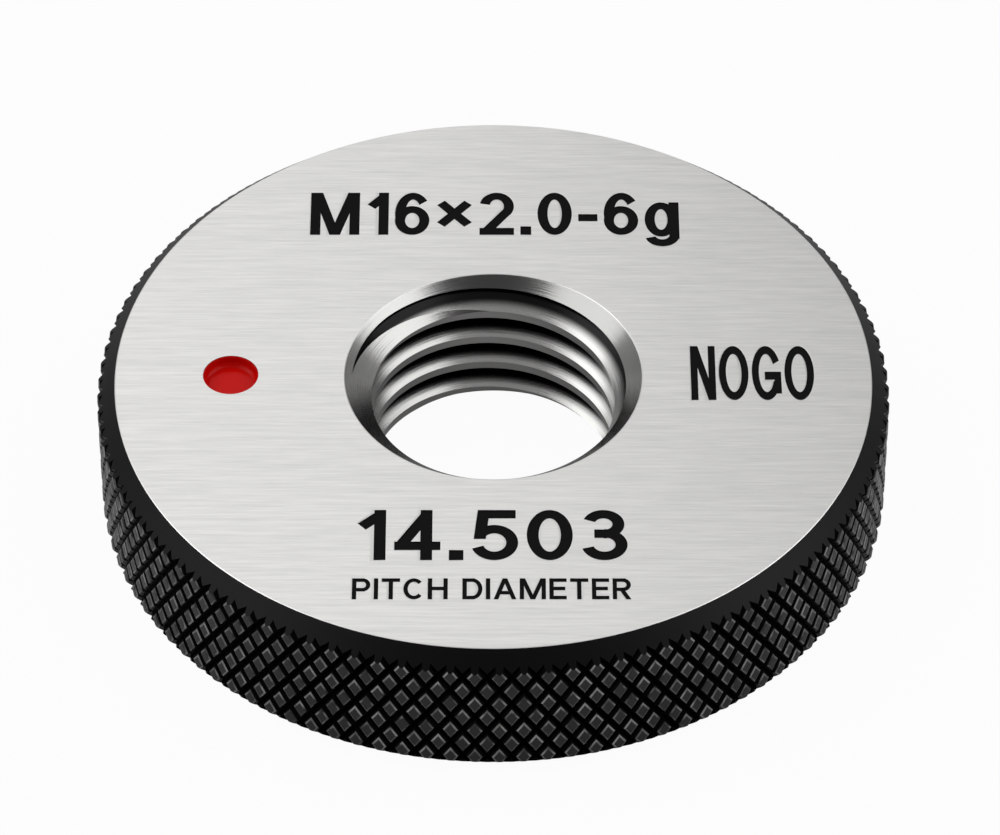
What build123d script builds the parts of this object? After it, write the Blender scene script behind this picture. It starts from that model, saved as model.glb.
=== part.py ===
"""A thread ring gauge: a thick, hardened steel ring with a diamond-knurled rim, an internal
metric thread through its middle, and a red enamel dot in a shallow recess on its top face.

Millimetres. +Z is up and is the thread's axis. The origin is on that axis, in the bottom face.
"""

import os
from math import ceil, cos, pi, radians, sin, tan

from build123d import *
from build123d.topology import SkipClean

os.makedirs("parts", exist_ok=True)

# The ring blank
outer_diameter = 45.0
thickness = 9.0
rim_chamfer = 1.05  # at 45 degrees, on both outer edges

# The knurl: V grooves of both hands leave flat-topped diamonds
knurl_spacing = 1.345  # from one groove to the next around the rim
knurl_angle = 33.0  # each groove's lean from the axis
knurl_depth = 0.34
knurl_groove_angle = 80.0  # between a groove's two sides

# The internal thread, with the basic metric profile
thread_diameter = 16.0
thread_pitch = 2.0
thread_start = 1.71  # height of a groove's middle on the +X side
thread_root_clearance = 0.04  # how far a groove's floor lies outside the nominal diameter
thread_half_angle = 30.0

# How much wider the 45 degree mouths of the threaded hole are than the thread
top_mouth_clearance = 0.9
bottom_mouth_clearance = 0.2

# The recess for the mark, on the -X side of the top face, and its enamel
mark_inset = 7.6  # from the rim to the mark's middle
mark_diameter = 3.15
mark_depth = 0.8
enamel_floor = 0.12
enamel_wall = 0.06
enamel_rim_drop = 0.05  # the enamel ends this far below the top face

# Worked out from the sizes above
rim_radius = outer_diameter / 2
knurl_count = round(pi * outer_diameter / knurl_spacing)
fundamental_height = thread_pitch * sin(radians(60))
crest_radius = thread_diameter / 2 - 5 / 8 * fundamental_height
root_radius = thread_diameter / 2 + thread_root_clearance
groove_half_width = 3 / 8 * thread_pitch
top_mouth_diameter = thread_diameter + top_mouth_clearance
bottom_mouth_diameter = thread_diameter + bottom_mouth_clearance
top_mouth_depth = top_mouth_diameter / 2 - crest_radius
bottom_mouth_depth = bottom_mouth_diameter / 2 - crest_radius
mark_distance = rim_radius - mark_inset
cutter_margin = 0.2  # how far each cutter stands clear of the surface it cuts


def knurl_cutter(lean):
    """One straight V groove in the rim's +X side, leaning from the axis by this many degrees."""
    along_groove = (0, sin(radians(lean)), cos(radians(lean)))
    section = Plane(origin=(rim_radius, 0, thickness / 2), x_dir=(1, 0, 0), z_dir=along_groove)
    opening = (knurl_depth + cutter_margin) * tan(radians(knurl_groove_angle / 2))
    half_length = thickness / cos(radians(lean)) / 2 + knurl_spacing
    with BuildPart() as groove:
        with BuildSketch(section):
            with BuildLine():
                Polyline(
                    (-knurl_depth, 0),
                    (cutter_margin, -opening),
                    (cutter_margin, opening),
                    close=True,
                )
            make_face()
        extrude(amount=half_length, both=True)
    return groove.part


# One turn of the thread's groove, as the tool that cuts it
with BuildPart() as thread_turn:
    with BuildLine() as turn_path:
        Helix(pitch=thread_pitch, height=thread_pitch, radius=crest_radius)
    turn_start = Plane(origin=turn_path.line @ 0, x_dir=(1, 0, 0), z_dir=turn_path.line % 0)
    with BuildSketch(turn_start):
        groove_depth = root_radius - crest_radius
        flank_slope = tan(radians(thread_half_angle))
        mouth_half = groove_half_width + cutter_margin * flank_slope
        floor_half = groove_half_width - groove_depth * flank_slope
        with BuildLine():
            Polyline(
                (-cutter_margin, -mouth_half),
                (groove_depth, -floor_half),
                (groove_depth, floor_half),
                (-cutter_margin, mouth_half),
                close=True,
            )
        make_face()
    sweep(path=turn_path.line, is_frenet=True)

# A quarter of the bore inside the thread's crests
with BuildPart() as bore_quarter:
    Cylinder(crest_radius, thickness, arc_size=90, align=(Align.NONE, Align.NONE, Align.MIN))

# The recess that holds the red mark
with BuildPart() as mark_recess:
    with Locations((-mark_distance, 0, thickness)):
        Cylinder(mark_diameter / 2, mark_depth, align=(Align.CENTER, Align.CENTER, Align.MAX))

# The ring is turned from one piece of steel. Its rim starts as a narrow flat for each groove of
# the knurl, which leaves the teeth flat tops. Faces that lie in one surface aren't merged, so
# the bore, opened a quarter at a time, keeps each quarter turn of thread crest as its own face.
with SkipClean(), BuildPart() as gauge_ring:
    with BuildSketch():
        RegularPolygon(rim_radius, knurl_count)
    extrude(amount=thickness)
    chamfer(gauge_ring.faces().filter_by(Axis.Z).edges(), rim_chamfer)
    with Locations((0, 0, thickness)):
        Cone(
            crest_radius,
            top_mouth_diameter / 2,
            top_mouth_depth,
            align=(Align.CENTER, Align.CENTER, Align.MAX),
            mode=Mode.SUBTRACT,
        )
    Cone(
        bottom_mouth_diameter / 2,
        crest_radius,
        bottom_mouth_depth,
        align=(Align.CENTER, Align.CENTER, Align.MIN),
        mode=Mode.SUBTRACT,
    )
    for quarter in range(4):
        with Locations(Rotation(0, 0, 90 * quarter)):
            add(bore_quarter.part, mode=Mode.SUBTRACT)
    turn_numbers = range(-1, ceil(thickness / thread_pitch) - 1)
    with Locations([(0, 0, thread_start + thread_pitch * number) for number in turn_numbers]):
        add(thread_turn.part, mode=Mode.SUBTRACT)
    add(mark_recess.part, mode=Mode.SUBTRACT)
    for lean in (knurl_angle, -knurl_angle):
        groove = knurl_cutter(lean)
        with PolarLocations(0, knurl_count):
            add(groove, mode=Mode.SUBTRACT)
gauge_ring.part.label = "gauge_ring"

# The red enamel lines the recess as a thin shallow cup
with BuildPart() as red_mark:
    enamel_height = mark_depth - enamel_rim_drop
    with Locations((-mark_distance, 0, thickness - mark_depth)):
        Cylinder(mark_diameter / 2, enamel_height, align=(Align.CENTER, Align.CENTER, Align.MIN))
    with Locations((-mark_distance, 0, thickness - mark_depth + enamel_floor)):
        Cylinder(
            mark_diameter / 2 - enamel_wall,
            enamel_height - enamel_floor,
            align=(Align.CENTER, Align.CENTER, Align.MIN),
            mode=Mode.SUBTRACT,
        )
red_mark.part.label = "red_mark"

export_step(gauge_ring.part, "parts/gauge_ring.step")
export_step(red_mark.part, "parts/red_mark.step")
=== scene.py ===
"""A thread ring gauge: a hardened steel ring with ground faces, a knurled black rim, an internal
metric thread, black engraved characters and a red enamel dot. It lies on a pale floor.

Metres, in the row frame: +Z up along the thread's axis, and the origin in the bottom face.
"""

from math import ceil, cos, dist, pi, radians, sin, tan

import bmesh
import bpy
import numpy as np
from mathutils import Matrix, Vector
from mathutils.geometry import delaunay_2d_cdt


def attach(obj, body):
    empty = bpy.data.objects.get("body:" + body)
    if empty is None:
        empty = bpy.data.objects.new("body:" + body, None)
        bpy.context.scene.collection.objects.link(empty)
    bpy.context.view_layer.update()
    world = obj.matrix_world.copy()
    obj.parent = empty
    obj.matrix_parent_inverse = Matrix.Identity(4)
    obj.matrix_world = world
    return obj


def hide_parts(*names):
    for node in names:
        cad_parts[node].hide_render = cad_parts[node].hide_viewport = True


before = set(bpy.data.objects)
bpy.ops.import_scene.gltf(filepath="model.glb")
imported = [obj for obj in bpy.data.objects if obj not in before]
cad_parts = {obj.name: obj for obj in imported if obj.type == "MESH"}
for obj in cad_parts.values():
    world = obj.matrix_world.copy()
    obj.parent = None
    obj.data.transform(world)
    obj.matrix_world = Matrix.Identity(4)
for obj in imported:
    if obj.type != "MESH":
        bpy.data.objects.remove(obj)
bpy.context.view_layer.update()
mm = 0.001


# The ring blank. The real piece is a disc of hardened gauge steel, turned to shape with a
# chamfer on both outer edges, bored through, and opened at 45 degrees at both ends of the bore.

outer_radius = 22.5
thickness = 9.0
rim_chamfer = 1.05
thread_diameter = 16.0
thread_pitch = 2.0
thread_height = thread_pitch * sin(radians(60))
crest_radius = thread_diameter / 2 - 5 / 8 * thread_height
top_mouth_radius = 8.45
bottom_mouth_radius = 8.1
blank_segments = 360
edge_break = 0.022


def colour(hex_value):
    """An sRGB hex colour as the linear red, green, blue and alpha that Blender's sockets take."""
    channels = [int(hex_value[i : i + 2], 16) / 255 for i in (1, 3, 5)]
    linear = [c / 12.92 if c <= 0.04045 else ((c + 0.055) / 1.055) ** 2.4 for c in channels]
    return (*linear, 1.0)


def add_node(tree, kind, inputs=None, links=None, **settings):
    """Adds one node to a tree, with its settings, its sockets' values and what feeds them."""
    node = tree.nodes.new(kind)
    for name, value in settings.items():
        setattr(node, name, value)
    for socket, value in (inputs or {}).items():
        node.inputs[socket].default_value = value
    for socket, source in (links or {}).items():
        tree.links.new(source, node.inputs[socket])
    return node


def new_material(name):
    """An empty material with its node tree and its Principled shader, wired to the output."""
    material = bpy.data.materials.new(name)
    material.use_nodes = True
    material.node_tree.nodes.clear()
    shader = add_node(material.node_tree, "ShaderNodeBsdfPrincipled")
    add_node(
        material.node_tree,
        "ShaderNodeOutputMaterial",
        links={"Surface": shader.outputs["BSDF"]},
    )
    return material, shader


def place(name, mesh):
    """Puts a mesh in the scene as an object of that name, at the origin and unturned."""
    thing = bpy.data.objects.new(name, mesh)
    bpy.context.scene.collection.objects.link(thing)
    return thing


def turned(name, profile, segments, materials):
    """A closed solid of revolution. The profile runs through (radius, height) points in mm, with
    the solid on its left, and each stretch of it has its own entry in materials."""
    mesh = bpy.data.meshes.new(name)
    count = len(profile)
    points = []
    for step in range(segments):
        angle = 2 * pi * step / segments
        for radius, height in profile:
            points.append((radius * cos(angle) * mm, radius * sin(angle) * mm, height * mm))
    faces = []
    kinds = []
    for step in range(segments):
        here = step * count
        there = (step + 1) % segments * count
        for i in range(count):
            j = (i + 1) % count
            faces.append((here + i, there + i, there + j, here + j))
            kinds.append(i)
    mesh.from_pydata(points, [], faces)
    slots = []
    for material in materials:
        if material.name not in slots:
            slots.append(material.name)
            mesh.materials.append(material)
    for face, kind in zip(mesh.polygons, kinds):
        face.material_index = slots.index(materials[kind].name)
    mesh.update()
    return mesh


# Surface-ground tool steel: fine straight scratches along X from the grinding wheel. They give
# the face its streaks, and blur what it reflects across them.
ground_steel, ground_shader = new_material("ground_tool_steel")
tree = ground_steel.node_tree
where = add_node(tree, "ShaderNodeTexCoord")
# Wheel scratches are about 0.02 mm wide. They are drawn 0.13 mm wide and 3 mm long, so that
# they show.
scratches_per_metre = (350, 7500, 7500)
fine_map = add_node(
    tree,
    "ShaderNodeMapping",
    inputs={"Scale": scratches_per_metre},
    links={"Vector": where.outputs["Object"]},
)
fine = add_node(
    tree,
    "ShaderNodeTexNoise",
    inputs={"Scale": 1.0, "Detail": 4.0, "Roughness": 0.6},
    links={"Vector": fine_map.outputs["Vector"]},
)
# Broader bands, about 0.3 mm wide and 8 mm long, from one pass of the wheel to the next
bands_per_metre = (120, 3000, 3000)
broad_map = add_node(
    tree,
    "ShaderNodeMapping",
    inputs={"Scale": bands_per_metre},
    links={"Vector": where.outputs["Object"]},
)
broad = add_node(
    tree,
    "ShaderNodeTexNoise",
    inputs={"Scale": 1.0, "Detail": 3.0, "Roughness": 0.55},
    links={"Vector": broad_map.outputs["Vector"]},
)
both = add_node(
    tree,
    "ShaderNodeMix",
    data_type="FLOAT",
    inputs={"Factor": 0.3},
    links={"A": fine.outputs["Fac"], "B": broad.outputs["Fac"]},
)
streak_tint = add_node(
    tree,
    "ShaderNodeValToRGB",
    links={"Fac": both.outputs["Result"]},
)
streak_tint.color_ramp.elements[0].position = 0.32
streak_tint.color_ramp.elements[0].color = colour("#d3d3d1")
streak_tint.color_ramp.elements[1].position = 0.68
streak_tint.color_ramp.elements[1].color = colour("#e8e7e5")
tree.links.new(streak_tint.outputs["Color"], ground_shader.inputs["Base Color"])
streak_bump = add_node(
    tree,
    "ShaderNodeBump",
    inputs={"Strength": 0.35, "Distance": 0.01 * mm},
    links={"Height": both.outputs["Result"]},
)
tree.links.new(streak_bump.outputs["Normal"], ground_shader.inputs["Normal"])
ground_shader.inputs["Metallic"].default_value = 1.0
ground_shader.inputs["Roughness"].default_value = 0.32


def reach_from_axis(tree, where):
    """The socket that tells how far a point of the surface is from the ring's axis, in metres."""
    level_place = add_node(
        tree,
        "ShaderNodeVectorMath",
        operation="MULTIPLY",
        inputs={1: (1, 1, 0)},
        links={0: where.outputs["Object"]},
    )
    reach = add_node(
        tree,
        "ShaderNodeVectorMath",
        operation="LENGTH",
        links={0: level_place.outputs["Vector"]},
    )
    return reach.outputs["Value"]


# Turned steel inside the bore: bright, with fine rings that the boring tool leaves round the axis
bore_grey = colour("#a8a8a6")
bore_steel, bore_shader = new_material("turned_tool_steel")
tree = bore_steel.node_tree
where = add_node(tree, "ShaderNodeTexCoord")
apart = add_node(tree, "ShaderNodeSeparateXYZ", links={"Vector": where.outputs["Object"]})
ring_place = add_node(
    tree,
    "ShaderNodeCombineXYZ",
    links={"X": reach_from_axis(tree, where), "Z": apart.outputs["Z"]},
)
# Tool marks about 0.15 mm apart
marks_per_metre = 7000.0
ring_lines = add_node(
    tree,
    "ShaderNodeTexNoise",
    inputs={"Scale": marks_per_metre, "Detail": 3.0, "Roughness": 0.6},
    links={"Vector": ring_place.outputs["Vector"]},
)
ring_bump = add_node(
    tree,
    "ShaderNodeBump",
    inputs={"Strength": 0.5, "Distance": 0.02 * mm},
    links={"Height": ring_lines.outputs["Fac"]},
)
tree.links.new(ring_bump.outputs["Normal"], bore_shader.inputs["Normal"])
bore_shader.inputs["Base Color"].default_value = bore_grey
bore_shader.inputs["Metallic"].default_value = 1.0
bore_shader.inputs["Roughness"].default_value = 0.22

# Black oxide on steel: a thin dark conversion coat with a satin gloss, which keeps the marks of
# what is under it. The marks are drawn 0.11 mm across, so that they show.
oxide_black = colour("#050505")
oxide_marks_per_metre = 9000.0
black_oxide, oxide_shader = new_material("black_oxide_steel")
tree = black_oxide.node_tree
where = add_node(tree, "ShaderNodeTexCoord")
oxide_grain = add_node(
    tree,
    "ShaderNodeTexNoise",
    inputs={"Scale": oxide_marks_per_metre, "Detail": 3.0, "Roughness": 0.6},
    links={"Vector": where.outputs["Object"]},
)
oxide_bump = add_node(
    tree,
    "ShaderNodeBump",
    inputs={"Strength": 0.3, "Distance": 0.01 * mm},
    links={"Height": oxide_grain.outputs["Fac"]},
)
tree.links.new(oxide_bump.outputs["Normal"], oxide_shader.inputs["Normal"])
oxide_shader.inputs["Base Color"].default_value = oxide_black
oxide_shader.inputs["Roughness"].default_value = 0.26

# The chamfers were turned before the coat went on, and take it more softly than the knurl
soft_oxide = black_oxide.copy()
soft_oxide.name = "black_oxide_chamfer"
soft_shader = next(n for n in soft_oxide.node_tree.nodes if n.type == "BSDF_PRINCIPLED")
soft_shader.inputs["Roughness"].default_value = 0.42
soft_shader.inputs["Specular IOR Level"].default_value = 0.16

# Handling has worn the coat off the shoulders of the knurl's teeth, more on some teeth than on
# others. The flats reflect far more than the grooves, partly from handling's polish and partly as
# painted shade that darkens the grooves. The next three sizes are depths below the flats, in mm.
full_groove_shade_below = 0.07
gloss_is_full = 0.01
shoulder_height = 0.1
tooth_reach = reach_from_axis(tree, where)
# Painted shade: the coat's reflection falls from 0.42 on the flats to 0.04 in the knurl's grooves
flat_gloss_and_groove_shade = add_node(
    tree,
    "ShaderNodeMapRange",
    interpolation_type="SMOOTHSTEP",
    inputs={
        "From Min": (outer_radius - full_groove_shade_below) * mm,
        "From Max": (outer_radius - gloss_is_full) * mm,
        "To Min": 0.04,
        "To Max": 0.42,
    },
    links={"Value": tooth_reach},
)
tooth_level = add_node(
    tree,
    "ShaderNodeMapRange",
    inputs={
        "From Min": (outer_radius - shoulder_height) * mm,
        "From Max": outer_radius * mm,
    },
    links={"Value": tooth_reach},
)
# The coat is gone in the middle of the shoulders, and whole in the grooves and on the flats
shoulder = add_node(tree, "ShaderNodeValToRGB", links={"Fac": tooth_level.outputs["Result"]})
shoulder.color_ramp.elements[0].position = 0.15
shoulder.color_ramp.elements[0].color = colour("#000000")
shoulder.color_ramp.elements[1].position = 0.9
shoulder.color_ramp.elements[1].color = colour("#000000")
for level in (0.4, 0.75):
    shoulder.color_ramp.elements.new(level).color = colour("#ffffff")
# Patches of wear about 1 mm across, near the size of a tooth
patches_per_metre = 900.0
wear_patches = add_node(
    tree,
    "ShaderNodeTexNoise",
    inputs={"Scale": patches_per_metre, "Detail": 2.0},
    links={"Vector": where.outputs["Object"]},
)
patch_wear = add_node(
    tree,
    "ShaderNodeMapRange",
    inputs={"From Min": 0.38, "From Max": 0.62, "To Min": 0.1, "To Max": 1.0},
    links={"Value": wear_patches.outputs["Fac"]},
)
wear = add_node(
    tree,
    "ShaderNodeMath",
    operation="MULTIPLY",
    links={0: shoulder.outputs["Color"], 1: patch_wear.outputs["Result"]},
)
worn_tint = add_node(
    tree,
    "ShaderNodeMix",
    data_type="RGBA",
    inputs={"A": oxide_black, "B": colour("#a0a09e")},
    links={"Factor": wear.outputs["Value"]},
)
tree.links.new(flat_gloss_and_groove_shade.outputs["Result"], oxide_shader.inputs["Specular IOR Level"])
tree.links.new(wear.outputs["Value"], oxide_shader.inputs["Metallic"])
tree.links.new(worn_tint.outputs["Result"], oxide_shader.inputs["Base Color"])

# Freshly cut edges: where the face was ground, the hair-thin break at its edges is bare steel
bright_edge, edge_shader = new_material("bright_cut_edge")
edge_shader.inputs["Base Color"].default_value = colour("#dededc")
edge_shader.inputs["Metallic"].default_value = 1.0
edge_shader.inputs["Roughness"].default_value = 0.4

blank_outline = [
    (bottom_mouth_radius, 0),
    (outer_radius - rim_chamfer, 0),
    (outer_radius, rim_chamfer),
    (outer_radius, thickness - rim_chamfer),
    (outer_radius - rim_chamfer + edge_break, thickness - edge_break),
    (outer_radius - rim_chamfer - edge_break, thickness),
    (top_mouth_radius + edge_break, thickness),
    (top_mouth_radius - edge_break, thickness - edge_break),
    (crest_radius, thickness - (top_mouth_radius - crest_radius)),
    (crest_radius, bottom_mouth_radius - crest_radius),
]
blank_finishes = [
    ground_steel,
    soft_oxide,
    black_oxide,
    soft_oxide,
    bright_edge,
    ground_steel,
    bright_edge,
    bore_steel,
    bore_steel,
    bore_steel,
]
ring = place("steel_ring", turned("steel_ring", blank_outline, blank_segments, blank_finishes))


# The knurl. Two crossed sets of V grooves are cut in the rim of the real ring, and leave rows of
# small diamonds with flat tops and worn shoulders. Here each diamond is one tooth, laid out flat
# and rolled up.

knurl_grooves = 105
knurl_angle = 33.0
knurl_depth = 0.34
knurl_groove_angle = 92.0
weld_distance = 0.002


def new_geometry_tree(name, inputs):
    """A Geometry Nodes tree that makes a mesh from its named sizes, and its input node."""
    tree = bpy.data.node_groups.new(name, "GeometryNodeTree")
    for label, kind in inputs:
        tree.interface.new_socket(label, in_out="INPUT", socket_type=kind)
    tree.interface.new_socket("Geometry", in_out="OUTPUT", socket_type="NodeSocketGeometry")
    return tree, tree.nodes.new("NodeGroupInput")


def grown(name, tree, values):
    """What a Geometry Nodes tree makes from these values, as a plain mesh."""
    thing = place(name, bpy.data.meshes.new(name + "_seed"))
    modifier = thing.modifiers.new(name, "NODES")
    modifier.node_group = tree
    for item in tree.interface.items_tree:
        if item.in_out == "INPUT":
            modifier[item.identifier] = values[item.name]
    shown = thing.evaluated_get(bpy.context.evaluated_depsgraph_get())
    mesh = bpy.data.meshes.new_from_object(shown)
    bpy.data.objects.remove(thing)
    return mesh


knurl_tree, sizes = new_geometry_tree(
    "knurl_teeth",
    [
        ("Grooves", "NodeSocketInt"),
        ("Rows", "NodeSocketInt"),
        ("Spacing", "NodeSocketFloat"),
        ("Row Height", "NodeSocketFloat"),
        ("Flat Share", "NodeSocketFloat"),
        ("Depth", "NodeSocketFloat"),
        ("Radius", "NodeSocketFloat"),
        ("Middle", "NodeSocketFloat"),
        ("First Tooth", "NodeSocketFloat"),
        ("Finish", "NodeSocketMaterial"),
    ],
)
tree = knurl_tree
tooth = add_node(
    tree,
    "GeometryNodeMeshCone",
    fill_type="NGON",
    inputs={"Vertices": 4, "Side Segments": 5, "Radius Bottom": 0.5},
    links={"Depth": sizes.outputs["Depth"]},
)
half_flat = add_node(
    tree,
    "ShaderNodeMath",
    operation="MULTIPLY",
    inputs={1: 0.5},
    links={0: sizes.outputs["Flat Share"]},
)
tree.links.new(half_flat.outputs["Value"], tooth.inputs["Radius Top"])
open_tooth = add_node(
    tree,
    "GeometryNodeDeleteGeometry",
    domain="FACE",
    links={"Geometry": tooth.outputs["Mesh"], "Selection": tooth.outputs["Bottom"]},
)
# The sides rise steeply from the groove's floor and round over to the flat top
tooth_point = add_node(tree, "GeometryNodeInputPosition")
tooth_parts = add_node(
    tree,
    "ShaderNodeSeparateXYZ",
    links={"Vector": tooth_point.outputs["Position"]},
)
minus_depth = add_node(
    tree,
    "ShaderNodeMath",
    operation="MULTIPLY",
    inputs={1: -1.0},
    links={0: sizes.outputs["Depth"]},
)
eased_height = add_node(
    tree,
    "ShaderNodeMapRange",
    interpolation_type="SMOOTHSTEP",
    links={
        "Value": tooth_parts.outputs["Z"],
        "From Min": minus_depth.outputs["Value"],
        "From Max": sizes.outputs["Depth"],
        "To Min": minus_depth.outputs["Value"],
        "To Max": sizes.outputs["Depth"],
    },
)
eased_point = add_node(
    tree,
    "ShaderNodeCombineXYZ",
    links={
        "X": tooth_parts.outputs["X"],
        "Y": tooth_parts.outputs["Y"],
        "Z": eased_height.outputs["Result"],
    },
)
eased_tooth = add_node(
    tree,
    "GeometryNodeSetPosition",
    links={
        "Geometry": open_tooth.outputs["Geometry"],
        "Position": eased_point.outputs["Vector"],
    },
)
tooth_scale = add_node(
    tree,
    "ShaderNodeCombineXYZ",
    inputs={"Z": 1.0},
    links={"X": sizes.outputs["Spacing"], "Y": sizes.outputs["Row Height"]},
)
sized_tooth = add_node(
    tree,
    "GeometryNodeTransform",
    links={"Geometry": eased_tooth.outputs["Geometry"], "Scale": tooth_scale.outputs["Vector"]},
)
every_place = add_node(
    tree,
    "ShaderNodeMath",
    operation="MULTIPLY",
    links={0: sizes.outputs["Grooves"], 1: sizes.outputs["Rows"]},
)
places = add_node(
    tree,
    "GeometryNodePoints",
    links={"Count": every_place.outputs["Value"]},
)
number = add_node(tree, "GeometryNodeInputIndex")
row = add_node(
    tree,
    "ShaderNodeMath",
    operation="MODULO",
    links={0: number.outputs["Index"], 1: sizes.outputs["Rows"]},
)
column_share = add_node(
    tree,
    "ShaderNodeMath",
    operation="DIVIDE",
    links={0: number.outputs["Index"], 1: sizes.outputs["Rows"]},
)
column = add_node(
    tree,
    "ShaderNodeMath",
    operation="FLOOR",
    links={0: column_share.outputs["Value"]},
)
half_row = add_node(
    tree,
    "ShaderNodeMath",
    operation="MULTIPLY",
    inputs={1: 0.5},
    links={0: row.outputs["Value"]},
)
stagger = add_node(
    tree,
    "ShaderNodeMath",
    operation="FRACT",
    links={0: half_row.outputs["Value"]},
)
staggered = add_node(
    tree,
    "ShaderNodeMath",
    operation="ADD",
    links={0: column.outputs["Value"], 1: stagger.outputs["Value"]},
)
along = add_node(
    tree,
    "ShaderNodeMath",
    operation="ADD",
    links={0: staggered.outputs["Value"], 1: sizes.outputs["First Tooth"]},
)
along_mm = add_node(
    tree,
    "ShaderNodeMath",
    operation="MULTIPLY",
    links={0: along.outputs["Value"], 1: sizes.outputs["Spacing"]},
)
last_row = add_node(
    tree,
    "ShaderNodeMath",
    operation="SUBTRACT",
    inputs={1: 1.0},
    links={0: sizes.outputs["Rows"]},
)
half_rows = add_node(
    tree,
    "ShaderNodeMath",
    operation="MULTIPLY",
    inputs={1: 0.25},
    links={0: last_row.outputs["Value"]},
)
from_middle = add_node(
    tree,
    "ShaderNodeMath",
    operation="SUBTRACT",
    links={0: half_row.outputs["Value"], 1: half_rows.outputs["Value"]},
)
up_mm = add_node(
    tree,
    "ShaderNodeMath",
    operation="MULTIPLY",
    links={0: from_middle.outputs["Value"], 1: sizes.outputs["Row Height"]},
)
tooth_place = add_node(
    tree,
    "ShaderNodeCombineXYZ",
    links={"X": along_mm.outputs["Value"], "Y": up_mm.outputs["Value"]},
)
tree.links.new(tooth_place.outputs["Vector"], places.inputs["Position"])
teeth = add_node(
    tree,
    "GeometryNodeInstanceOnPoints",
    links={"Points": places.outputs["Points"], "Instance": sized_tooth.outputs["Geometry"]},
)
real_teeth = add_node(
    tree,
    "GeometryNodeRealizeInstances",
    links={"Geometry": teeth.outputs["Instances"]},
)
flat_place = add_node(tree, "GeometryNodeInputPosition")
flat_parts = add_node(
    tree,
    "ShaderNodeSeparateXYZ",
    links={"Vector": flat_place.outputs["Position"]},
)
round_length = add_node(
    tree,
    "ShaderNodeMath",
    operation="MULTIPLY",
    links={0: sizes.outputs["Grooves"], 1: sizes.outputs["Spacing"]},
)
turn_share = add_node(
    tree,
    "ShaderNodeMath",
    operation="DIVIDE",
    links={0: flat_parts.outputs["X"], 1: round_length.outputs["Value"]},
)
turn_angle = add_node(
    tree,
    "ShaderNodeMath",
    operation="MULTIPLY",
    inputs={1: 2 * pi},
    links={0: turn_share.outputs["Value"]},
)
across = add_node(
    tree,
    "ShaderNodeMath",
    operation="COSINE",
    links={0: turn_angle.outputs["Value"]},
)
away = add_node(
    tree,
    "ShaderNodeMath",
    operation="SINE",
    links={0: turn_angle.outputs["Value"]},
)
groove_floor = add_node(
    tree,
    "ShaderNodeMath",
    operation="SUBTRACT",
    links={0: sizes.outputs["Radius"], 1: sizes.outputs["Depth"]},
)
out_by = add_node(
    tree,
    "ShaderNodeMath",
    operation="ADD",
    links={0: groove_floor.outputs["Value"], 1: flat_parts.outputs["Z"]},
)
rolled_x = add_node(
    tree,
    "ShaderNodeMath",
    operation="MULTIPLY",
    links={0: out_by.outputs["Value"], 1: across.outputs["Value"]},
)
rolled_y = add_node(
    tree,
    "ShaderNodeMath",
    operation="MULTIPLY",
    links={0: out_by.outputs["Value"], 1: away.outputs["Value"]},
)
rolled_z = add_node(
    tree,
    "ShaderNodeMath",
    operation="ADD",
    links={0: flat_parts.outputs["Y"], 1: sizes.outputs["Middle"]},
)
rolled_place = add_node(
    tree,
    "ShaderNodeCombineXYZ",
    links={
        "X": rolled_x.outputs["Value"],
        "Y": rolled_y.outputs["Value"],
        "Z": rolled_z.outputs["Value"],
    },
)
rolled = add_node(
    tree,
    "GeometryNodeSetPosition",
    links={"Geometry": real_teeth.outputs["Geometry"], "Position": rolled_place.outputs["Vector"]},
)
welded = add_node(
    tree,
    "GeometryNodeMergeByDistance",
    inputs={"Distance": weld_distance * mm},
    links={"Geometry": rolled.outputs["Geometry"]},
)
finished = add_node(
    tree,
    "GeometryNodeSetMaterial",
    links={"Geometry": welded.outputs["Geometry"], "Material": sizes.outputs["Finish"]},
)
add_node(tree, "NodeGroupOutput", links={"Geometry": finished.outputs["Geometry"]})

knurl_spacing = 2 * pi * outer_radius / knurl_grooves
row_height = knurl_spacing / tan(radians(knurl_angle))
groove_mouth = 2 * knurl_depth * tan(radians(knurl_groove_angle / 2)) / cos(radians(knurl_angle))
knurl_rows = 2 * ceil(thickness / row_height) + 3
knurl_mesh = grown(
    "knurl",
    knurl_tree,
    {
        "Grooves": knurl_grooves,
        "Rows": knurl_rows,
        "Spacing": knurl_spacing * mm,
        "Row Height": row_height * mm,
        "Flat Share": 1 - groove_mouth / knurl_spacing,
        "Depth": knurl_depth * mm,
        "Radius": outer_radius * mm,
        "Middle": thickness / 2 * mm,
        "First Tooth": 0.5,
        "Finish": black_oxide,
    },
)


def capped(mesh):
    """Closes a mesh's open ends and turns its faces outwards."""
    shape = bmesh.new()
    shape.from_mesh(mesh)
    open_edges = [edge for edge in shape.edges if edge.is_boundary]
    bmesh.ops.holes_fill(shape, edges=open_edges, sides=0)
    bmesh.ops.recalc_face_normals(shape, faces=shape.faces)
    shape.to_mesh(mesh)
    shape.free()
    return mesh


def machined(work, operation, tool):
    """Shapes a piece with a tool, and leaves it a plain mesh."""
    cut = work.modifiers.new(tool.name, "BOOLEAN")
    cut.operation = operation
    cut.object = tool
    cut.solver = "EXACT"
    cut.material_mode = "TRANSFER"
    shown = work.evaluated_get(bpy.context.evaluated_depsgraph_get())
    work.data = bpy.data.meshes.new_from_object(shown)
    work.modifiers.clear()
    bpy.data.objects.remove(tool)


machined(ring, "INTERSECT", place("knurl", capped(knurl_mesh)))


# The thread. The real one is cut in the bore with a ground tool, then lapped: a right-hand metric
# thread with flat crests, steep straight flanks and a narrow flat root.

root_radius = 8.04
groove_half_width = 3 / 8 * thread_pitch
thread_half_angle = 30.0
flank_slope = tan(radians(thread_half_angle))
thread_start = 1.71
thread_turns = 7
turns_below_start = 2
thread_steps = 180
tool_margin = 0.2
section_turn = -pi / 2
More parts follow.
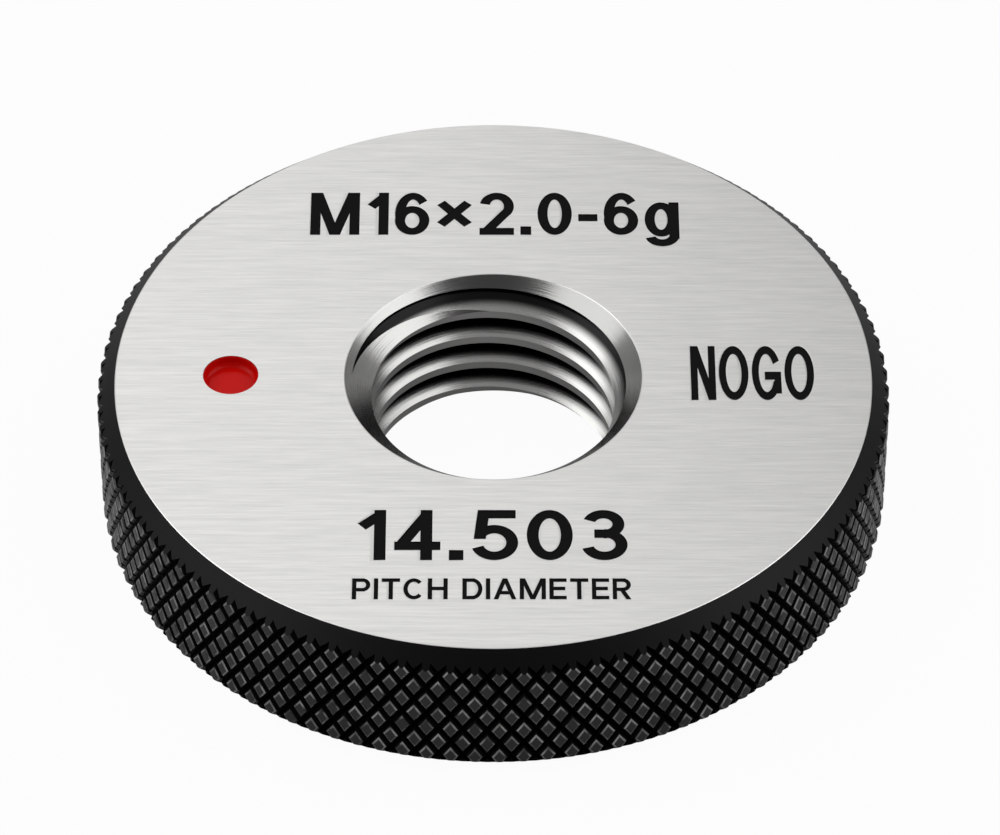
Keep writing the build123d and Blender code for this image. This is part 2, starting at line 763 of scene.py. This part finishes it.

# Painted shade in the thread's grooves: the base colour darkens from bright bore steel near the
# crests to near black towards the root, where shade falls. The painted shade sets in just outside
# the crests and is full 0.4 mm short of the root.
root_shade_starts = 7.06
root_shade_is_full = 7.62
thread_steel = bore_steel.copy()
thread_steel.name = "lapped_thread_steel_painted_shade"
tree = thread_steel.node_tree
where = add_node(tree, "ShaderNodeTexCoord")
root_shade_share = add_node(
    tree,
    "ShaderNodeMapRange",
    interpolation_type="SMOOTHSTEP",
    inputs={"From Min": root_shade_starts * mm, "From Max": root_shade_is_full * mm},
    links={"Value": reach_from_axis(tree, where)},
)
# Painted shade: bore grey darkens to near black towards the thread's root
root_shade_tint = add_node(
    tree,
    "ShaderNodeMix",
    data_type="RGBA",
    inputs={"A": bore_grey, "B": colour("#1c1c1c")},
    links={"Factor": root_shade_share.outputs["Result"]},
)
thread_shader = next(node for node in tree.nodes if node.type == "BSDF_PRINCIPLED")
tree.links.new(root_shade_tint.outputs["Result"], thread_shader.inputs["Base Color"])

thread_tree, sizes = new_geometry_tree(
    "thread_groove",
    [
        ("Steps in a Turn", "NodeSocketInt"),
        ("Turns", "NodeSocketFloat"),
        ("Radius", "NodeSocketFloat"),
        ("Length", "NodeSocketFloat"),
        ("Start", "NodeSocketFloat"),
        ("Mouth", "NodeSocketFloat"),
        ("Floor", "NodeSocketFloat"),
        ("Depth", "NodeSocketFloat"),
        ("Finish", "NodeSocketMaterial"),
    ],
)
tree = thread_tree
helix = add_node(
    tree,
    "GeometryNodeCurveSpiral",
    inputs={"Reverse": True},
    links={
        "Resolution": sizes.outputs["Steps in a Turn"],
        "Rotations": sizes.outputs["Turns"],
        "Start Radius": sizes.outputs["Radius"],
        "End Radius": sizes.outputs["Radius"],
        "Height": sizes.outputs["Length"],
    },
)
upright = add_node(
    tree,
    "GeometryNodeSetCurveNormal",
    mode="Z_UP",
    links={"Curve": helix.outputs["Curve"]},
)
section = add_node(
    tree,
    "GeometryNodeCurvePrimitiveQuadrilateral",
    mode="TRAPEZOID",
    inputs={"Offset": 0.0},
    links={
        "Height": sizes.outputs["Depth"],
        "Bottom Width": sizes.outputs["Mouth"],
        "Top Width": sizes.outputs["Floor"],
    },
)
turned_section = add_node(
    tree,
    "GeometryNodeTransform",
    inputs={"Rotation": (0, 0, section_turn)},
    links={"Geometry": section.outputs["Curve"]},
)
groove = add_node(
    tree,
    "GeometryNodeCurveToMesh",
    inputs={"Fill Caps": True},
    links={"Curve": upright.outputs["Curve"], "Profile Curve": turned_section.outputs["Geometry"]},
)
start_place = add_node(tree, "ShaderNodeCombineXYZ", links={"Z": sizes.outputs["Start"]})
raised = add_node(
    tree,
    "GeometryNodeTransform",
    links={"Geometry": groove.outputs["Mesh"], "Translation": start_place.outputs["Vector"]},
)
finished = add_node(
    tree,
    "GeometryNodeSetMaterial",
    links={"Geometry": raised.outputs["Geometry"], "Material": sizes.outputs["Finish"]},
)
add_node(tree, "NodeGroupOutput", links={"Geometry": finished.outputs["Geometry"]})

groove_depth = root_radius - crest_radius
tool_depth = groove_depth + tool_margin
thread_mesh = grown(
    "thread_tool",
    thread_tree,
    {
        "Steps in a Turn": thread_steps,
        "Turns": float(thread_turns),
        "Radius": (root_radius - tool_depth / 2) * mm,
        "Length": thread_turns * thread_pitch * mm,
        "Start": (thread_start - turns_below_start * thread_pitch) * mm,
        "Mouth": 2 * (groove_half_width + tool_margin * flank_slope) * mm,
        "Floor": 2 * (groove_half_width - groove_depth * flank_slope) * mm,
        "Depth": tool_depth * mm,
        "Finish": thread_steel,
    },
)
machined(ring, "DIFFERENCE", place("thread_tool", capped(thread_mesh)))


# The characters. They are cut a few hundredths of a millimetre into the ground face and filled
# with black. The cut throws up a hair-thin bright edge round each one.

ink_depth = 0.05
edge_depth = 0.004
edge_width = 0.07

# Matt black filler, wiped into the cuts, which leaves the characters without a glint
black_ink, ink_shader = new_material("black_filler")
ink_shader.inputs["Base Color"].default_value = colour("#080808")
ink_shader.inputs["Roughness"].default_value = 0.7
ink_shader.inputs["Specular IOR Level"].default_value = 0.1

# Each character is strokes in a box one wide and one high. A bar runs straight along or up and
# has square ends, a slant has level ends, a dash has ends square to itself, a bow is part of an
# oval, given by its middle, its half sizes and the degrees it runs through, and a block is full.
characters = {
    "0": [("bow", 0.5, 0.5, 0.5, 0.5, 0, 360)],
    "1": [("bar", 1, 0, 1, 1), ("dash", 0, 0.7, 0.95, 0.97)],
    "2": [
        ("bow", 0.5, 0.71, 0.5, 0.29, 168, -38),
        ("dash", 0.92, 0.56, 0.1, 0.02),
        ("bar", 0, 0, 1, 0),
    ],
    "3": [
        ("bow", 0.48, 0.76, 0.44, 0.24, 160, -90),
        ("bow", 0.5, 0.27, 0.5, 0.27, 90, -165),
        ("bar", 0.38, 0.53, 0.5, 0.53),
    ],
    "4": [("dash", 0, 0.24, 0.78, 1), ("bar", 0, 0.24, 1, 0.24), ("bar", 0.76, 0, 0.76, 1)],
    "5": [
        ("bar", 0.2, 1, 0.93, 1),
        ("slant", 0.17, 1, 0.05, 0.42),
        ("bow", 0.48, 0.32, 0.52, 0.32, 142, -160),
    ],
    "6": [("bow", 0.5, 0.31, 0.5, 0.31, 0, 360), ("bow", 0.53, 0.5, 0.53, 0.5, 200, 38)],
    "g": [
        ("bow", 0.47, 0.63, 0.47, 0.37, 0, 360),
        ("bar", 1, 0.2, 1, 1),
        ("bow", 0.5, 0.2, 0.5, 0.2, 4, -165),
    ],
    "×": [("dash", 0, 0, 1, 1), ("dash", 0, 1, 1, 0)],
    ".": [("block",)],
    "-": [("block",)],
    "A": [("slant", 0, 0, 0.5, 1), ("slant", 1, 0, 0.5, 1), ("bar", 0.24, 0.28, 0.76, 0.28)],
    "C": [("bow", 0.5, 0.5, 0.5, 0.5, 42, 318)],
    "D": [
        ("bar", 0, 0, 0, 1),
        ("bar", 0, 1, 0.5, 1),
        ("bar", 0, 0, 0.5, 0),
        ("bow", 0.5, 0.5, 0.5, 0.5, 90, -90),
    ],
    "E": [
        ("bar", 0, 0, 0, 1),
        ("bar", 0, 1, 1, 1),
        ("bar", 0, 0.52, 0.9, 0.52),
        ("bar", 0, 0, 1, 0),
    ],
    "G": [
        ("bow", 0.5, 0.5, 0.5, 0.5, 27, 336),
        ("bar", 0.58, 0.44, 1, 0.44),
        ("bar", 1, 0.14, 1, 0.44),
    ],
    "H": [("bar", 0, 0, 0, 1), ("bar", 1, 0, 1, 1), ("bar", 0, 0.52, 1, 0.52)],
    "I": [("bar", 0.5, 0, 0.5, 1)],
    "M": [
        ("bar", 0, 0, 0, 1),
        ("bar", 1, 0, 1, 1),
        ("slant", 0.04, 1, 0.5, 0),
        ("slant", 0.96, 1, 0.5, 0),
    ],
    "N": [("bar", 0, 0, 0, 1), ("bar", 1, 0, 1, 1), ("slant", 0.02, 1, 0.98, 0)],
    "O": [("bow", 0.5, 0.5, 0.5, 0.5, 0, 360)],
    "P": [
        ("bar", 0, 0, 0, 1),
        ("bar", 0, 1, 0.6, 1),
        ("bar", 0, 0.45, 0.6, 0.45),
        ("bow", 0.6, 0.725, 0.4, 0.275, 90, -90),
    ],
    "R": [
        ("bar", 0, 0, 0, 1),
        ("bar", 0, 1, 0.6, 1),
        ("bar", 0, 0.47, 0.6, 0.47),
        ("bow", 0.6, 0.735, 0.4, 0.265, 90, -90),
        ("slant", 0.5, 0.47, 1, 0),
    ],
    "T": [("bar", 0, 1, 1, 1), ("bar", 0.5, 0, 0.5, 1)],
}
# The widths of the characters that aren't of the usual width, and the reach of those that don't
# run from the baseline to the cap line. A line's ends stretch its widths and gaps alike.
usual_width = 0.7
character_widths = {
    "1": 0.46,
    "A": 0.86,
    "C": 0.8,
    "D": 0.76,
    "E": 0.66,
    "G": 1.13,
    "H": 0.76,
    "I": 0.17,
    "M": 1.0,
    "N": 0.96,
    "O": 1.14,
    "×": 0.76,
    ".": 0.22,
    "-": 0.39,
    " ": 0.3,
}
character_reach = {"g": (-0.27, 0.77), "×": (0.16, 0.84), ".": (0, 0.2), "-": (0.32, 0.49)}
character_gap = 0.13
bow_step = 6


def signed_area(outline):
    """The area inside a ring of points, positive where the ring runs anticlockwise."""
    after = np.roll(outline, -1, axis=0)
    return (outline[:, 0] * after[:, 1] - after[:, 0] * outline[:, 1]).sum() / 2


def stroke_outlines(stroke, left, right, bottom, top, stem):
    """One stroke's outlines in mm, in a character's box, with this width of stem."""
    kind, *where = stroke
    half = stem / 2
    across = right - left - stem
    up = top - bottom - stem
    if kind == "block":
        return [[(left, bottom), (right, bottom), (right, top), (left, top)]]
    if kind == "bow":
        middle_u, middle_v, reach_u, reach_v, first, last = where
        middle_x, middle_y = left + half + across * middle_u, bottom + half + up * middle_v
        reach_x, reach_y = across * reach_u, up * reach_v
        steps = max(2, round(abs(last - first) / bow_step))
        angles = [radians(first + (last - first) * i / steps) for i in range(steps + 1)]
        outer, inner = (
            [
                (middle_x + (reach_x + side) * cos(a), middle_y + (reach_y + side) * sin(a))
                for a in angles
            ]
            for side in (half, -half)
        )
        if last - first == 360:
            return [outer[:-1], inner[:0:-1]]
        return [outer + inner[::-1]]
    u1, v1, u2, v2 = where
    x1, x2 = (left + half + across * u for u in (u1, u2))
    if kind == "slant":
        y1, y2 = (bottom + (top - bottom) * v for v in (v1, v2))
        wide = half * dist((x1, y1), (x2, y2)) / abs(y2 - y1)
        return [[(x1 - wide, y1), (x1 + wide, y1), (x2 + wide, y2), (x2 - wide, y2)]]
    y1, y2 = (bottom + half + up * v for v in (v1, v2))
    length = dist((x1, y1), (x2, y2))
    along = half * (x2 - x1) / length, half * (y2 - y1) / length
    end = 1 if kind == "bar" else 0
    return [
        [
            (x1 - end * along[0] + along[1], y1 - end * along[1] - along[0]),
            (x2 + end * along[0] + along[1], y2 + end * along[1] - along[0]),
            (x2 + end * along[0] - along[1], y2 + end * along[1] + along[0]),
            (x1 - end * along[0] - along[1], y1 - end * along[1] + along[0]),
        ]
    ]


def line_of_text(text, left, right, baseline, cap_height, stem, level_stroke):
    """The outlines of a line of text that reaches from left to right, in mm. Outlines run
    anticlockwise round ink, and clockwise round the hole in a round character."""
    widths = [character_widths.get(character, usual_width) for character in text]
    stretch = (right - left) / (sum(widths) + character_gap * (len(text) - 1))
    thicker = level_stroke / stem
    unit_height = cap_height / thicker
    outlines = []
    start = left
    for character, width in zip(text, widths):
        low, high = character_reach.get(character, (0, 1))
        box = (start, start + width * stretch, low * unit_height, high * unit_height)
        for stroke in characters.get(character, []):
            for hole, outline in enumerate(stroke_outlines(stroke, *box, stem)):
                placed = np.array(outline) * (1, thicker) + (0, baseline)
                if (signed_area(placed) < 0) != bool(hole):
                    placed = placed[::-1]
                outlines.append(placed)
        start += (width + character_gap) * stretch
    return outlines


def winding(places, outlines):
    """How many times the outlines run round each place."""
    turns = np.zeros(len(places))
    for outline in outlines:
        for (x1, y1), (x2, y2) in zip(outline, np.roll(outline, -1, axis=0)):
            if y1 == y2:
                continue
            level = (places[:, 1] >= min(y1, y2)) & (places[:, 1] < max(y1, y2))
            crossing = x1 + (places[:, 1] - y1) * (x2 - x1) / (y2 - y1)
            turns += (level & (crossing > places[:, 0])) * (1 if y2 > y1 else -1)
    return turns


def loops_of(edges):
    """Puts the open edges of a mesh in order, as closed loops of vertices. The edges wait in a
    dict, which keeps their order, so that each run gives the same loops."""
    left = dict.fromkeys(edges)
    loops = []
    while left:
        edge = left.popitem()[0]
        loop = list(edge.verts)
        while loop[-1] is not loop[0]:
            edge = next(e for e in loop[-1].link_edges if e in left)
            del left[edge]
            loop.append(edge.other_vert(loop[-1]))
        loops.append(loop[:-1])
    return loops


def lowered(shape, faces, depth, finish):
    """Sinks some faces of the top into the steel by this many mm, with upright walls."""
    sunk = bmesh.ops.extrude_face_region(shape, geom=faces)["geom"]
    bmesh.ops.delete(shape, geom=faces, context="FACES")
    for part in sunk:
        if isinstance(part, bmesh.types.BMVert):
            part.co.z -= depth * mm
            for wall in part.link_faces:
                wall.material_index = finish
    return [part for part in sunk if isinstance(part, bmesh.types.BMFace)]


def marked(work, edge_outlines, ink_outlines, round_recess, finishes):
    """Makes the ground top face anew, with the characters and the round recess sunk in it."""
    shape = bmesh.new()
    shape.from_mesh(work.data)
    level = thickness * mm
    touching = 1e-8
    old = [face for face in shape.faces if min(v.co.z for v in face.verts) > level - touching]
    open_edges = dict.fromkeys(edge for face in old for edge in face.edges)
    bmesh.ops.delete(shape, geom=old, context="FACES_ONLY")
    open_edges = [edge for edge in open_edges if edge.is_valid and edge.link_faces]
    spare = [edge for edge in shape.edges if edge.is_wire]
    bmesh.ops.delete(shape, geom=spare, context="EDGES")
    rims = [np.array([v.co[:2] for v in loop]) / mm for loop in loops_of(open_edges)]
    outlines = rims + edge_outlines + ink_outlines + [round_recess]
    edges = []
    for outline in outlines:
        first = len(edges)
        edges += [(first + i, first + (i + 1) % len(outline)) for i in range(len(outline))]
    corner_places = [Vector(point) for point in np.concatenate(outlines)]
    all_triangles, smallest_gap = 0, 0.0001
    points, _, triangles, *_ = delaunay_2d_cdt(
        corner_places, edges, [], all_triangles, smallest_gap
    )
    flat = np.array([tuple(point) for point in points])
    middles = flat[np.array(triangles)].mean(axis=1)
    on_face = sum(abs(winding(middles, [rim])) for rim in rims) == 1
    in_edge = winding(middles, edge_outlines) > 0
    in_ink = winding(middles, ink_outlines) > 0
    in_recess = winding(middles, [round_recess]) > 0
    corners = [shape.verts.new((x * mm, y * mm, level)) for x, y in flat]
    inked, recessed = [], []
    edge_corners = {}
    for triangle, shown, edge, ink, recess in zip(triangles, on_face, in_edge, in_ink, in_recess):
        if not shown:
            continue
        face = shape.faces.new([corners[i] for i in triangle])
        face.material_index = finishes["edge" if edge else "face"]
        for i in triangle:
            edge_corners[i] = edge_corners.get(i, True) and bool(edge)
        if ink:
            inked.append(face)
        if recess:
            recessed.append(face)
    for i, inside in edge_corners.items():
        if inside:
            corners[i].co.z -= edge_depth * mm
    for face in lowered(shape, inked, ink_depth - edge_depth, finishes["ink"]):
        face.material_index = finishes["ink"]
    lowered(shape, recessed, mark_depth, finishes["recess"])
    bmesh.ops.delete(shape, geom=[v for v in shape.verts if not v.link_faces], context="VERTS")
    bmesh.ops.remove_doubles(shape, verts=shape.verts, dist=touching)
    shape.normal_update()
    shape.to_mesh(work.data)
    shape.free()


# Each line of text has its left and right ends, its baseline and cap height, and the widths of
# its stems and of its level strokes
lines = [
    ("M16×2.0-6g", -10.66, 10.83, 11.80, 3.66, 0.59, 0.60),
    ("NOGO", 11.2, 18.2, -2.06, 4.44, 0.4, 0.66),
    ("14.503", -7.6, 7.4, -14.75, 3.9, 0.66, 0.66),
    ("PITCH DIAMETER", -7.73, 7.53, -17.75, 1.6, 0.24, 0.27),
]
ink_outlines = []
edge_outlines = []
for text, left, right, baseline, cap_height, stem, level_stroke in lines:
    wider = 2 * edge_width
    ink_outlines += line_of_text(text, left, right, baseline, cap_height, stem, level_stroke)
    edge_outlines += line_of_text(
        text,
        left - edge_width,
        right + edge_width,
        baseline - edge_width,
        cap_height + wider,
        stem + wider,
        level_stroke + wider,
    )
mark_centre = (-14.9, 0.0)
mark_radius = 1.575
mark_depth = 0.8
mark_segments = 96
recess_outline = [
    (
        mark_centre[0] + mark_radius * cos(2 * pi * step / mark_segments),
        mark_centre[1] + mark_radius * sin(2 * pi * step / mark_segments),
    )
    for step in range(mark_segments)
]
ring.data.materials.append(black_ink)
finish_numbers = {finish: number for number, finish in enumerate(ring.data.materials)}
marked(
    ring,
    edge_outlines,
    ink_outlines,
    np.array(recess_outline),
    {
        "face": finish_numbers[ground_steel],
        "edge": finish_numbers[bright_edge],
        "ink": finish_numbers[black_ink],
        "recess": finish_numbers[bore_steel],
    },
)

# Edges that turn by more than this are crisp, and so is each line where two finishes meet
ring_smooth_turn = 12
ring.data.set_sharp_from_angle(angle=radians(ring_smooth_turn))
shape = bmesh.new()
shape.from_mesh(ring.data)
for edge in shape.edges:
    if len({face.material_index for face in edge.link_faces}) > 1:
        edge.smooth = False
shape.to_mesh(ring.data)
shape.free()


# The red mark. A shallow round recess is sunk in the ground face and lined with red enamel,
# which wets its wall and dries as a thin glossy cup.

enamel_floor = 0.12
enamel_wall = 0.06
enamel_rim_drop = 0.05
fillet = 0.32
fillet_steps = 10
enamel_smooth_turn = 40

# Red enamel: a smooth, deep red with a soft gloss
red_enamel, enamel_shader = new_material("red_enamel")
enamel_shader.inputs["Base Color"].default_value = colour("#c40a05")
enamel_shader.inputs["Roughness"].default_value = 0.2
enamel_shader.inputs["Specular IOR Level"].default_value = 0.08


def moved(mesh, x, y):
    """Moves a mesh's own points by this many mm."""
    for vertex in mesh.vertices:
        vertex.co.x += x * mm
        vertex.co.y += y * mm
    return mesh


def disc_turned(name, profile, segments, material):
    """A closed solid of revolution, with a flat disc inside the first and last profile points."""
    mesh = bpy.data.meshes.new(name)
    points = []
    for radius, height in profile:
        for step in range(segments):
            angle = 2 * pi * step / segments
            points.append((radius * cos(angle) * mm, radius * sin(angle) * mm, height * mm))
    faces = [tuple(reversed(range(segments)))]
    for level in range(len(profile) - 1):
        for step in range(segments):
            after = (step + 1) % segments
            base = level * segments
            above = base + segments
            faces.append((base + step, base + after, above + after, above + step))
    last = (len(profile) - 1) * segments
    faces.append(tuple(last + step for step in range(segments)))
    mesh.from_pydata(points, [], faces)
    mesh.materials.append(material)
    return mesh


enamel_low = thickness - mark_depth
enamel_top = thickness - enamel_rim_drop
inner_radius = mark_radius - enamel_wall
enamel_outline = [(mark_radius, enamel_low), (mark_radius, enamel_top), (inner_radius, enamel_top)]
for step in range(fillet_steps + 1):
    angle = pi / 2 * step / fillet_steps
    enamel_outline.append(
        (
            inner_radius - fillet + fillet * cos(angle),
            enamel_low + enamel_floor + fillet - fillet * sin(angle),
        )
    )
enamel = place(
    "red_enamel_mark",
    moved(disc_turned("red_enamel_mark", enamel_outline, mark_segments, red_enamel), *mark_centre),
)
enamel.data.set_sharp_from_angle(angle=radians(enamel_smooth_turn))

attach(ring, "root")
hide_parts("gauge_ring")
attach(enamel, "root")
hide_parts("red_mark")


# The setting: a plain pale floor under soft studio lamps, and a long lens from above the front.
# The floor lies a hair below the ring, so that the two never share a plane.

# The paper is a pale grey that lights the ring. The camera sees it as an even white, apart from
# a share left for the ring's soft shadow. The ring's reflections see a little of that white, and
# no more, so that the thread's crests and the rim stay dark.
camera_share = 0.96
reflection_share = 0.08
white_paper, paper_shader = new_material("white_paper")
tree = white_paper.node_tree
paper_shader.inputs["Base Color"].default_value = colour("#c6c6c6")
paper_shader.inputs["Roughness"].default_value = 0.9
paper_white = add_node(
    tree,
    "ShaderNodeEmission",
    inputs={"Color": colour("#ffffff"), "Strength": 1.0},
)
ray = add_node(tree, "ShaderNodeLightPath")
glossy_share = add_node(
    tree,
    "ShaderNodeMath",
    operation="MULTIPLY",
    inputs={1: reflection_share},
    links={0: ray.outputs["Is Glossy Ray"]},
)
seen_share = add_node(
    tree,
    "ShaderNodeMath",
    operation="MULTIPLY_ADD",
    inputs={1: camera_share},
    links={0: ray.outputs["Is Camera Ray"], 2: glossy_share.outputs["Value"]},
)
paper_mix = add_node(
    tree,
    "ShaderNodeMixShader",
    links={
        0: seen_share.outputs["Value"],
        1: paper_shader.outputs["BSDF"],
        2: paper_white.outputs["Emission"],
    },
)
paper_output = next(node for node in tree.nodes if node.type == "OUTPUT_MATERIAL")
tree.links.new(paper_mix.outputs["Shader"], paper_output.inputs["Surface"])
floor_mesh = bpy.data.meshes.new("floor")
reach = 3.0
floor_drop = 0.02 * mm
floor_mesh.from_pydata(
    [
        (-reach, -reach, -floor_drop),
        (reach, -reach, -floor_drop),
        (reach, reach, -floor_drop),
        (-reach, reach, -floor_drop),
    ],
    [],
    [(0, 1, 2, 3)],
)
floor_mesh.materials.append(white_paper)
floor = place("floor", floor_mesh)

# The room round the softboxes is dim overhead, so that they shape the metal, and palest 10 to
# 19 degrees above the horizon. Where the camera sees past the floor, it is white.
world = bpy.data.worlds.new("studio")
bpy.context.scene.world = world
world.use_nodes = True
tree = world.node_tree
tree.nodes.clear()
where = add_node(tree, "ShaderNodeTexCoord")
apart = add_node(tree, "ShaderNodeSeparateXYZ", links={"Vector": where.outputs["Object"]})
room_tint = add_node(tree, "ShaderNodeValToRGB", links={"Fac": apart.outputs["Z"]})
room_tint.color_ramp.elements[0].position = 0.0
room_tint.color_ramp.elements[0].color = colour("#5c5c5c")
room_tint.color_ramp.elements[1].position = 0.55
room_tint.color_ramp.elements[1].color = colour("#4a4a4a")
for rise in (0.17, 0.32):
    room_tint.color_ramp.elements.new(rise).color = colour("#a8a8a8")
ray = add_node(tree, "ShaderNodeLightPath")
seen_tint = add_node(
    tree,
    "ShaderNodeMix",
    data_type="RGBA",
    inputs={"B": colour("#ffffff")},
    links={"Factor": ray.outputs["Is Camera Ray"], "A": room_tint.outputs["Color"]},
)
room = add_node(
    tree,
    "ShaderNodeBackground",
    inputs={"Strength": 1.0},
    links={"Color": seen_tint.outputs["Result"]},
)
add_node(tree, "ShaderNodeOutputWorld", links={"Surface": room.outputs["Background"]})


def softbox(name, azimuth, elevation, distance, width, height, brightness):
    """A soft rectangular lamp aimed at the ring, with brightness 1 for white. Azimuth 0 is on
    the +X side and 90 on the +Y side, in degrees, and the sizes are in metres."""
    lamp = bpy.data.lights.new(name, "AREA")
    lamp.shape = "RECTANGLE"
    lamp.size = width
    lamp.size_y = height
    lamp.energy = pi * width * height * brightness
    lit_from = distance * Vector(
        (
            cos(radians(elevation)) * cos(radians(azimuth)),
            cos(radians(elevation)) * sin(radians(azimuth)),
            sin(radians(elevation)),
        )
    )
    thing = bpy.data.objects.new(name, lamp)
    thing.location = lit_from
    thing.rotation_euler = lit_from.to_track_quat("Z", "Y").to_euler()
    thing.visible_camera = False
    bpy.context.scene.collection.objects.link(thing)


softbox(
    "back_softbox",
    azimuth=128,
    elevation=52,
    distance=0.8,
    width=1.0,
    height=0.55,
    brightness=1.13,
)
softbox(
    "top_softbox",
    azimuth=-90,
    elevation=76,
    distance=0.6,
    width=0.4,
    height=0.26,
    brightness=0.45,
)
softbox(
    "right_softbox",
    azimuth=-2,
    elevation=44,
    distance=0.7,
    width=0.66,
    height=0.6,
    brightness=2.1,
)
softbox(
    "left_softbox",
    azimuth=188,
    elevation=43,
    distance=0.7,
    width=0.66,
    height=0.6,
    brightness=1.7,
)

# A long lens. The shift puts the ring where it lies in the frame.
camera_elevation = 43.65
camera_distance = 0.340
focal_pixels = 5993
image_width = 1000
sensor_width = 36
camera = bpy.data.objects.new("camera", bpy.data.cameras.new("camera"))
camera.location = (
    0,
    -camera_distance * cos(radians(camera_elevation)),
    thickness * mm + camera_distance * sin(radians(camera_elevation)),
)
camera.rotation_euler = (radians(90 - camera_elevation), 0, 0)
camera.data.sensor_width = sensor_width
camera.data.lens = focal_pixels / image_width * sensor_width
camera.data.shift_x = 0.0067
camera.data.shift_y = -0.04265
camera.data.clip_start = 0.01
camera.data.clip_end = 20
bpy.context.scene.collection.objects.link(camera)
bpy.context.scene.camera = camera

bpy.context.scene.view_settings.view_transform = "Standard"
